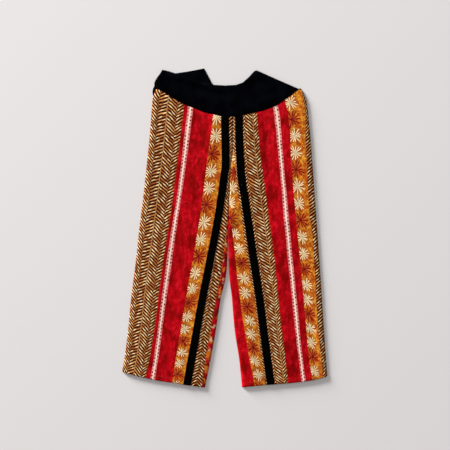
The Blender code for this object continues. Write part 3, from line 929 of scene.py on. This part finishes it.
colour = add(tree, MIX, {0: cream, 6: colour, 7: linear("e0b888")}, **COLOUR)
finish_cotton(tree, shader, colour)

PRINT_KINDS = ("red", "chevrons", "line", "flowers", "edge")
print_materials = (red_cotton, chevron_cotton, line_cotton, flower_cotton, edge_cotton)


def leg_front(name, leg):
    """A leg's front panel, with a step at its hem and a dip at the waist seam."""

    def top_of(leg, x, y, from_hem, from_waist):
        return front_top(leg, x, y) + end_rise(from_hem, from_waist)

    return printed_panel(name, leg, front_waist, 0.0, CELL, CLOTH, top_of, print_materials, PRINT_KINDS)


right_front = leg_front("cloth_front_right", right_leg)
left_front = leg_front("cloth_front_left", left_leg)


def stitch_row_tree():
    """Geometry Nodes: stitches of thread laid end to end along a line, each a little uneven."""
    tree = bpy.data.node_groups.new("stitch_row", "GeometryNodeTree")
    wanted = (
        ("Seam line", "Geometry"),
        ("Stitch pitch", "Float"),
        ("Stitch length", "Float"),
        ("Thread thickness", "Float"),
        ("Thread", "Material"),
        ("Seed", "Int"),
    )
    for name, kind in wanted:
        tree.interface.new_socket(name, in_out="INPUT", socket_type="NodeSocket" + kind)
    tree.interface.new_socket("Stitches", in_out="OUTPUT", socket_type="NodeSocketGeometry")
    line, pitch, length, thickness, thread, seed = tree.nodes.new("NodeGroupInput").outputs[:6]
    curve = add(tree, "GeometryNodeMeshToCurve", (line,))
    points = add(tree, "GeometryNodeCurveToPoints", {"Curve": curve, "Length": pitch}, mode="LENGTH")
    turned = points.node.outputs["Rotation"]
    sizes = add(tree, "ShaderNodeCombineXYZ", (thickness, thickness, length))
    uneven = add(
        tree,
        "FunctionNodeRandomValue",
        {0: (0.85, 0.85, 0.85), 1: (1.1, 1.1, 1.05), "Seed": seed},
        data_type="FLOAT_VECTOR",
    )
    sizes = add(tree, "ShaderNodeVectorMath", (sizes, uneven), operation="MULTIPLY")
    stitch = add(tree, "GeometryNodeMeshUVSphere", {"Segments": 6, "Rings": 4, "Radius": 0.5})
    row = add(
        tree,
        "GeometryNodeInstanceOnPoints",
        {"Points": points, "Instance": stitch, "Rotation": turned, "Scale": sizes},
    )
    row = add(tree, "GeometryNodeRealizeInstances", (row,))
    row = add(tree, "GeometryNodeSetShadeSmooth", (row,))
    row = add(tree, "GeometryNodeSetMaterial", {"Geometry": row, "Material": thread})
    tree.links.new(row, tree.nodes.new("NodeGroupOutput").inputs[0])
    return tree


stitch_tree = stitch_row_tree()
Stitching = namedtuple("Stitching", "pitch length thickness")
HEM_STITCHING = Stitching(3.2, 2.7, 0.45)
# The height where a leg's width sets the line's steps, its start across the panel, how far it is
# below the hem's upper edge, and how far it stands out of the cloth
HEM_LEVEL = -400.0
HEM_LINE_START = 0.02
HEM_LINE_INSET = 1.5
HEM_THREAD_RISE = 0.1


def stitch_rows(name, lines, stitching, thread, seed):
    """Rows of stitches along lines of points in the plan, as one plain mesh."""
    data = bpy.data.meshes.new(name)
    points, edges = [], []
    for line in lines:
        edges += [(len(points) + i, len(points) + i + 1) for i in range(len(line) - 1)]
        points += [Vector(p) * MM + plan_shift for p in line]
    data.from_pydata(points, edges, [])
    piece = plain_mesh(name, data)
    modifier = piece.modifiers.new("stitches", "NODES")
    modifier.node_group = stitch_tree
    values = {
        "Stitch pitch": stitching.pitch * MM,
        "Stitch length": stitching.length * MM,
        "Thread thickness": stitching.thickness * MM,
        "Thread": thread,
        "Seed": seed,
    }
    for item in stitch_tree.interface.items_tree:
        if item.name in values:
            modifier[item.identifier] = values[item.name]
    shown = piece.evaluated_get(bpy.context.evaluated_depsgraph_get())
    finished = bpy.data.meshes.new_from_object(shown)
    piece.modifiers.remove(modifier)
    piece.data = finished
    return piece


# Red-brown cotton thread: two plies, matt, close to the print's own colour so that it hardly shows; its
# darker bands are painted shade in the grooves between the twisted plies
PLY_PITCH = 1.2
brown_thread, tree, shader = cloth_material("red_brown_cotton_thread", 0.8, 0.1)
place = add(tree, "ShaderNodeTexCoord", out=3)
twist = wave_scale(DIAGONAL_TURN, PLY_PITCH)
# Painted shade: the grooves between the plies drawn as darker bands of colour, with no relief
ply_groove_shade = add(tree, "ShaderNodeTexWave", (place, twist), bands_direction="DIAGONAL", out=1)
colour = add(tree, MIX, {0: ply_groove_shade, 6: linear("7a2a16"), 7: linear("a04a26")}, **COLOUR)
tree.links.new(colour, shader.inputs["Base Color"])


def hem_point(leg, share):
    """A point of the hem's stitching, at a share of the panel's width."""

    def down(y):
        return leg.left(y) + (leg.right(y) - leg.left(y)) * share

    y = crossing(leg.hem, down) + HEM_DEPTH - HEM_LINE_INSET
    x = down(y)
    return x, y, front_top(leg, x, y) + HEM_RISE + HEM_THREAD_RISE


def hem_line(leg):
    """The hem's stitching: across the front, just under the hem's upper edge."""
    count = round(abs(leg.outer(HEM_LEVEL) - leg.inner(HEM_LEVEL)) / CELL)
    width = 1 - 2 * HEM_LINE_START
    return [hem_point(leg, HEM_LINE_START + width * i / count) for i in range(count + 1)]


hem_pieces = []
for name, leg, seed in (("hem_stitches_right", right_leg, 11), ("hem_stitches_left", left_leg, 12)):
    hem_pieces.append(stitch_rows(name, [hem_line(leg)], HEM_STITCHING, brown_thread, seed))
for piece, node in ((right_front, "leg_front_right"), (left_front, "leg_front_left")):
    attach(piece, "root")
    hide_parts(node)
for piece in hem_pieces:
    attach(piece, "root")

# The legs' backs.
# Two panels of the same print, cut like the fronts and lying flat and face down on the surface. The
# side seams and inseams join them to the fronts just inside the rolled edges.
BACK_WAIST = (
    EdgePoint(-216.0, 395.0),
    EdgePoint(-120.0, 363.0),
    EdgePoint(24.0, 349.0),
    EdgePoint(130.0, 367.0),
    EdgePoint(226.0, 411.0),
)
BACK_INSET = 4.0
BACK_CLOTH = 1.0
back_waist = column_curve(BACK_WAIST, "x", "y")


def leg_back(name, leg):
    """A leg's back panel, flat on the surface."""

    def top_of(leg, x, y, from_hem, from_waist):
        return BACK_CLOTH

    return printed_panel(
        name, leg, back_waist, BACK_INSET, 2 * CELL, BACK_CLOTH, top_of, print_materials, PRINT_KINDS
    )


right_back = leg_back("cloth_back_right", right_leg)
left_back = leg_back("cloth_back_left", left_leg)
for piece, node in ((right_back, "leg_back_right"), (left_back, "leg_back_left")):
    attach(piece, "root")
    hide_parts(node)

# The black strips.
# A strip of black cotton down each leg's front, laid over the print and sewn along both its edges
# with black thread.
STRIP_RISE = 0.9
STRIP_CLOTH = 0.6
STRIP_COLUMNS = 6
STRIP_LENGTH = 830.0
STRIP_EDGE_DROP = 0.25
STRIP_EDGE_WIDTH = 2.5
STRIP_STITCHING = Stitching(2.8, 2.3, 0.4)
# Where the strips' stitching runs: from each long side, and along the strip
STITCH_INSET = 1.6
STITCH_LINE_STEPS = 200
STITCH_LINE_START = 0.004
STITCH_LINE_SHARE = 0.99
STRIP_THREAD_RISE = 0.08

# Black cotton: plain weave, piece-dyed and matt, with a few pale specks of lint on it
LINT_SPACING = 10.526
LINT_PATCH = 32.258
black_cotton, tree, shader = cloth_material("black_dyed_cotton", 0.9, 0.005)
place = add(tree, "ShaderNodeTexCoord", out=3)
specks = add(tree, "ShaderNodeTexVoronoi", {"Vector": place, "Scale": mark_scale(LINT_SPACING)})
where = add(tree, NOISE, {"Vector": place, "Scale": mark_scale(LINT_PATCH), "Detail": 2.0})
lint = add(tree, RAMP, (specks, 0.09, 0.04), **EASED)
where = add(tree, RAMP, (where, 0.58, 0.66, 0.0, 0.35), **EASED)
lint = add(tree, MATH, (lint, where), operation="MULTIPLY")
colour = add(tree, MIX, {0: lint, 6: linear("030303"), 7: linear("8d9096")}, **COLOUR)
finish_cotton(tree, shader, colour)

# Black cotton thread: matt, and a shade lighter than the strip it holds, with painted shade as darker
# bands in the grooves between its plies
black_thread, tree, shader = cloth_material("black_cotton_thread", 0.8, 0.01)
place = add(tree, "ShaderNodeTexCoord", out=3)
# Painted shade: the grooves between the plies drawn as darker bands of colour, with no relief
ply_groove_shade = add(tree, "ShaderNodeTexWave", (place, twist), bands_direction="DIAGONAL", out=1)
colour = add(tree, MIX, {0: ply_groove_shade, 6: linear("030303"), 7: linear("090909")}, **COLOUR)
tree.links.new(colour, shader.inputs["Base Color"])


def strip_point(leg, share, part):
    """A point on the strip's upper face, at a share of its width and a part of its length."""

    def line(y):
        return leg.tape(y) + (share - 0.5) * TAPE_WIDTH

    low = crossing(leg.hem, line)
    high = crossing(front_waist, line) - SEAM_GAP / 2
    y = low + (high - low) * part
    x = line(y)
    from_edge = min(share, 1 - share) * TAPE_WIDTH
    drop = STRIP_EDGE_DROP * (1 - shoulder(from_edge, STRIP_EDGE_WIDTH))
    return x, y, front_top(leg, x, y) + end_rise(y - low, high - y) + STRIP_RISE - drop


def strip(name, leg):
    """A leg's strip, from its hem to the waist seam."""
    shares = [i / STRIP_COLUMNS for i in range(STRIP_COLUMNS + 1)]
    rows = round(STRIP_LENGTH / CELL)
    tops = [[strip_point(leg, share, j / rows) for share in shares] for j in range(rows + 1)]
    return shell(name, tops, STRIP_CLOTH, (black_cotton,), lambda j, i: 0, lambda cell, j, i: (i, j))


def strip_stitches(name, leg, seed):
    """The two rows of stitches that hold a strip."""
    lines = []
    steps = [i / STITCH_LINE_STEPS for i in range(STITCH_LINE_STEPS + 1)]
    for share in (STITCH_INSET / TAPE_WIDTH, 1 - STITCH_INSET / TAPE_WIDTH):
        line = [strip_point(leg, share, STITCH_LINE_START + STITCH_LINE_SHARE * step) for step in steps]
        lines.append([(x, y, z + STRIP_THREAD_RISE) for x, y, z in line])
    return stitch_rows(name, lines, STRIP_STITCHING, black_thread, seed)


strip_places = (("right", right_leg, right_front, 21), ("left", left_leg, left_front, 22))
for side, leg, under, seed in strip_places:
    piece = strip("strip_" + side, leg)
    stitches = strip_stitches("strip_stitches_" + side, leg, seed)
    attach(piece, "root")
    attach(stitches, "root")
    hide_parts("tape_" + side)

# The waistband.
# A wide tube of fine black ribbed jersey, doubled over at its top edge and sewn to the legs at the
# waist seam. Laid flat, its front dips in the middle, and its back peeks out above it on the left.
BandStation = namedtuple("BandStation", "seam_x top_x top_y")
FRONT_BAND = (
    BandStation(-205.5, -188.5, 474.5),
    BandStation(-182.0, -168.0, 470.0),
    BandStation(-158.0, -147.5, 463.5),
    BandStation(-118.0, -111.0, 450.0),
    BandStation(-70.0, -60.0, 435.5),
    BandStation(-40.0, -32.0, 429.0),
    BandStation(0.0, 2.0, 427.0),
    BandStation(36.0, 34.0, 429.0),
    BandStation(70.0, 54.0, 436.0),
    BandStation(100.0, 73.0, 453.0),
    BandStation(128.0, 88.0, 470.0),
    BandStation(137.0, 96.0, 472.5),
    BandStation(176.0, 152.0, 447.5),
    BandStation(219.5, 221.5, 417.2),
)
BACK_BAND = (
    BandStation(-214.0, -186.0, 470.0),
    BandStation(-172.0, -147.5, 464.0),
    BandStation(-130.0, -111.0, 469.3),
    BandStation(-82.0, -62.0, 478.5),
    BandStation(-66.0, -53.0, 462.0),
    BandStation(-46.0, -38.5, 434.0),
    BandStation(-28.0, -24.0, 419.0),
    BandStation(24.0, 14.0, 415.0),
    BandStation(72.0, 52.0, 425.0),
    BandStation(108.0, 88.0, 461.0),
    BandStation(122.0, 98.0, 469.0),
    BandStation(170.0, 152.0, 445.0),
    BandStation(217.0, 217.0, 416.2),
)
# The bow of its left end, then how its layers fall at their edges and how thick they are
LEFT_SIDE_BOW = -11.0
BOW_REACH = 25.0
BAND_SHOULDER = 9.0
BAND_WALL = 2.5
BAND_ROLL = 3.5
BAND_ROLL_DROP = 1.6
BAND_DIP = 1.2
BAND_DIP_WIDTH = 4.0
BACK_BAND_TOP = 1.7
BACK_BAND_ROLL = 2.0
BACK_BAND_DROP = 0.8
# Rows from the seam to the top edge, a little closer together near the top
BAND_ROWS = 26
ROW_CROWDING = 1.15
# The depth that the ribs' map gives the band
BAND_DEPTH = 95.0
# The band's finer creases: its top edge stands up a little on the left and slumps in the middle
BAND_CREASES = (
    Fold(-146, 459, -58, 426, 1.4, 4),
    Fold(-160, 444, -44, 404, -1.5, 7),
    Fold(-34, 417, -8, 412, 1.3, 6),
    Fold(36, 408, 96, 432, -1.5, 12),
    Fold(-120, 384, 128, 388, 0.5, 12),
    Fold(110, 440, 186, 412, 0.5, 6),
)
FRONT_JERSEY = 2.3
BACK_JERSEY = 2.0
LEAST_COLUMN = 0.6
# Rib pitch: real fine rib has about one rib a millimetre, and this is drawn coarser
RIB = 1.6
RIB_DEPTH = 0.6
FUZZ_SIZE = 2.381
CLOUD_SIZE = 41.667


def between(points, at):
    """The value at a place on a line that is straight between its points."""
    i = min(max(bisect_right(points, (at, math.inf)) - 1, 0), len(points) - 2)
    (x0, y0), (x1, y1) = points[i], points[i + 1]
    return y0 + (y1 - y0) * (at - x0) / (x1 - x0)


class Band:
    """The plan of one layer of the waistband, from its seam to its top edge."""

    def __init__(self, stations, waist, inset):
        self.waist = waist
        self.top_x = [(s.seam_x, s.top_x) for s in stations]
        self.top_y = [(s.seam_x, s.top_y) for s in stations]
        first, last = [
            leg.outer(crossing(waist, leg.outer)) - leg.side * inset for leg in (right_leg, left_leg)
        ]
        count = round((last - first) / CELL)
        spaced = [first + (last - first) * i / count for i in range(1, count)]
        corners = [s.seam_x for s in stations[1:-1]]
        spaced = [x for x in spaced if min(abs(x - corner) for corner in corners) > LEAST_COLUMN]
        self.columns = sorted([first, last, *spaced, *corners])

    def point(self, column, part):
        foot_y = self.waist(column) + SEAM_GAP / 2
        x = column + (between(self.top_x, column) - column) * part
        y = foot_y + (between(self.top_y, column) - foot_y) * part
        near_left = max(1 - (column - self.columns[0]) / BOW_REACH, 0.0)
        # 1 at a third of the height, where this product is at its most
        bulge = part * (1 - part) ** 2 * 27 / 4
        return x + LEFT_SIDE_BOW * bulge * near_left, y

    def height(self, column):
        return math.dist(self.point(column, 0.0), self.point(column, 1.0))


# Fine ribbed jersey: knitted cotton, black with a slight navy cast, matt, and a little fuzzy
jersey, tree, shader = cloth_material("black_ribbed_jersey", 0.9, 0.01)
place = add(tree, "ShaderNodeUVMap", uv_map="print")
across = add(tree, "ShaderNodeSeparateXYZ", (place,))
ribs = add(tree, MATH, (across, 2 * math.pi / RIB), operation="MULTIPLY")
ribs = add(tree, MATH, (ribs,), operation="SINE")
ground = add(tree, "ShaderNodeTexCoord", out=3)
fuzz = add(tree, NOISE, {"Vector": ground, "Scale": mark_scale(FUZZ_SIZE), "Detail": 3.0})
height = add(tree, MATH, (ribs, 0.3, fuzz), operation="MULTIPLY_ADD")
bump = {"Strength": 0.4, "Distance": RIB_DEPTH * MM, "Height": height}
relief = add(tree, "ShaderNodeBump", bump)
cloud = add(tree, NOISE, {"Vector": ground, "Scale": mark_scale(CLOUD_SIZE), "Detail": 3.0})
cloud = add(tree, RAMP, (cloud, 0.36, 0.64), **EASED)
colour = add(tree, MIX, {0: cloud, 6: linear("010103"), 7: linear("040509")}, **COLOUR)
tree.links.new(relief, shader.inputs["Normal"])
tree.links.new(colour, shader.inputs["Base Color"])


def band_layer(name, band, wall, top_of):
    """One layer of the waistband, mapped so that its ribs run up it."""
    tops, places = [], []
    for j in range(BAND_ROWS + 1):
        part = 1 - (1 - j / BAND_ROWS) ** ROW_CROWDING
        left_x = band.point(band.columns[0], part)[0]
        right_x = band.point(band.columns[-1], part)[0]
        row = []
        for column in band.columns:
            x, y = band.point(column, part)
            from_seam = part * band.height(column)
            from_top = (1 - part) * band.height(column)
            row.append((x, y, top_of(x, y, from_top, from_seam, min(x - left_x, right_x - x))))
        tops.append(row)
        places.append([(column, part * BAND_DEPTH) for column in band.columns])
    return shell(name, tops, wall, (jersey,), lambda j, i: 0, lambda cell, j, i: places[j][i])


def front_band_top(x, y, from_top, from_seam, from_side):
    """The height of the band's front: folded, rolled at its edges and dipping at the seam."""
    lift = open_lift(x, y) + fold_height(BAND_CREASES, x, y)
    lift = max(lift, 0.0) * shoulder(from_top, BAND_SHOULDER) * shoulder(from_side, BAND_SHOULDER)
    rolled = BAND_ROLL_DROP * (1 - shoulder(min(from_top, from_side), BAND_ROLL))
    dip = BAND_DIP * (1 - ease(from_seam / BAND_DIP_WIDTH))
    return BACK_WALL + LAYER_GAP + BAND_WALL + lift - rolled - dip


def back_band_top(x, y, from_top, from_seam, from_side):
    """The height of the band's back: flat, with rounded edges."""
    return BACK_BAND_TOP - BACK_BAND_DROP * (1 - shoulder(min(from_top, from_side), BACK_BAND_ROLL))


front_band = Band(FRONT_BAND, front_waist, 0.0)
back_band = Band(BACK_BAND, back_waist, 1.0)
front_waistband = band_layer("jersey_front", front_band, FRONT_JERSEY, front_band_top)
back_waistband = band_layer("jersey_back", back_band, BACK_JERSEY, back_band_top)
for piece, node in ((front_waistband, "waistband_front"), (back_waistband, "waistband_back")):
    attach(piece, "root")
    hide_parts(node)

# The floor, the light and the camera.
# A pale plain surface under a wide soft lamp, low and to the upper left, seen from straight above.
FLOOR_HALF = 3.0
FLOOR_DROP = 0.0002
floor_data = bpy.data.meshes.new("floor")
signs = ((-1, -1), (1, -1), (1, 1), (-1, 1))
corners = [(x * FLOOR_HALF, y * FLOOR_HALF, -FLOOR_DROP) for x, y in signs]
floor_data.from_pydata(corners, [], [(0, 1, 2, 3)])
floor = plain_mesh("floor", floor_data)
paper, tree, shader = cloth_material("pale_matt_paper", 0.95, 0.1)
shader.inputs["Base Color"].default_value = linear("e0dcdb")
floor_data.materials.append(paper)

ROOM_LIGHT = (1.0, 0.99, 0.985, 1.0)
ROOM_STRENGTH = 0.445
world = bpy.data.worlds.new("studio")
world.use_nodes = True
world.node_tree.nodes["Background"].inputs["Color"].default_value = ROOM_LIGHT
world.node_tree.nodes["Background"].inputs["Strength"].default_value = ROOM_STRENGTH
bpy.context.scene.world = world
bpy.context.scene.view_settings.view_transform = "Standard"

LAMP_PLACE = Vector((-10.43, 10.43, 2.75))
LAMP_WIDTH = 4.4
LAMP_WATTS = 6950.0
lamp_data = bpy.data.lights.new("softbox", "AREA")
lamp_data.shape = "DISK"
lamp_data.size = LAMP_WIDTH
lamp_data.energy = LAMP_WATTS
lamp = bpy.data.objects.new("softbox", lamp_data)
lamp.location = LAMP_PLACE
lamp.rotation_euler = (-LAMP_PLACE).to_track_quat("-Z", "Y").to_euler()
bpy.context.scene.collection.objects.link(lamp)

PHOTO_WIDTH = 450
MM_PER_PIXEL = 3.0
PHOTO_MIDDLE = Vector((0.75, 9.0, 0.0))
CAMERA_HEIGHT = 2.6
camera_data = bpy.data.cameras.new("camera")
camera_data.sensor_width = 36.0
camera_data.lens = camera_data.sensor_width * CAMERA_HEIGHT / (PHOTO_WIDTH * MM_PER_PIXEL * MM)
camera_data.clip_end = 50.0
camera = bpy.data.objects.new("camera", camera_data)
camera.location = PHOTO_MIDDLE * MM + plan_shift + Vector((0.0, 0.0, CAMERA_HEIGHT))
bpy.context.scene.collection.objects.link(camera)
bpy.context.scene.camera = camera
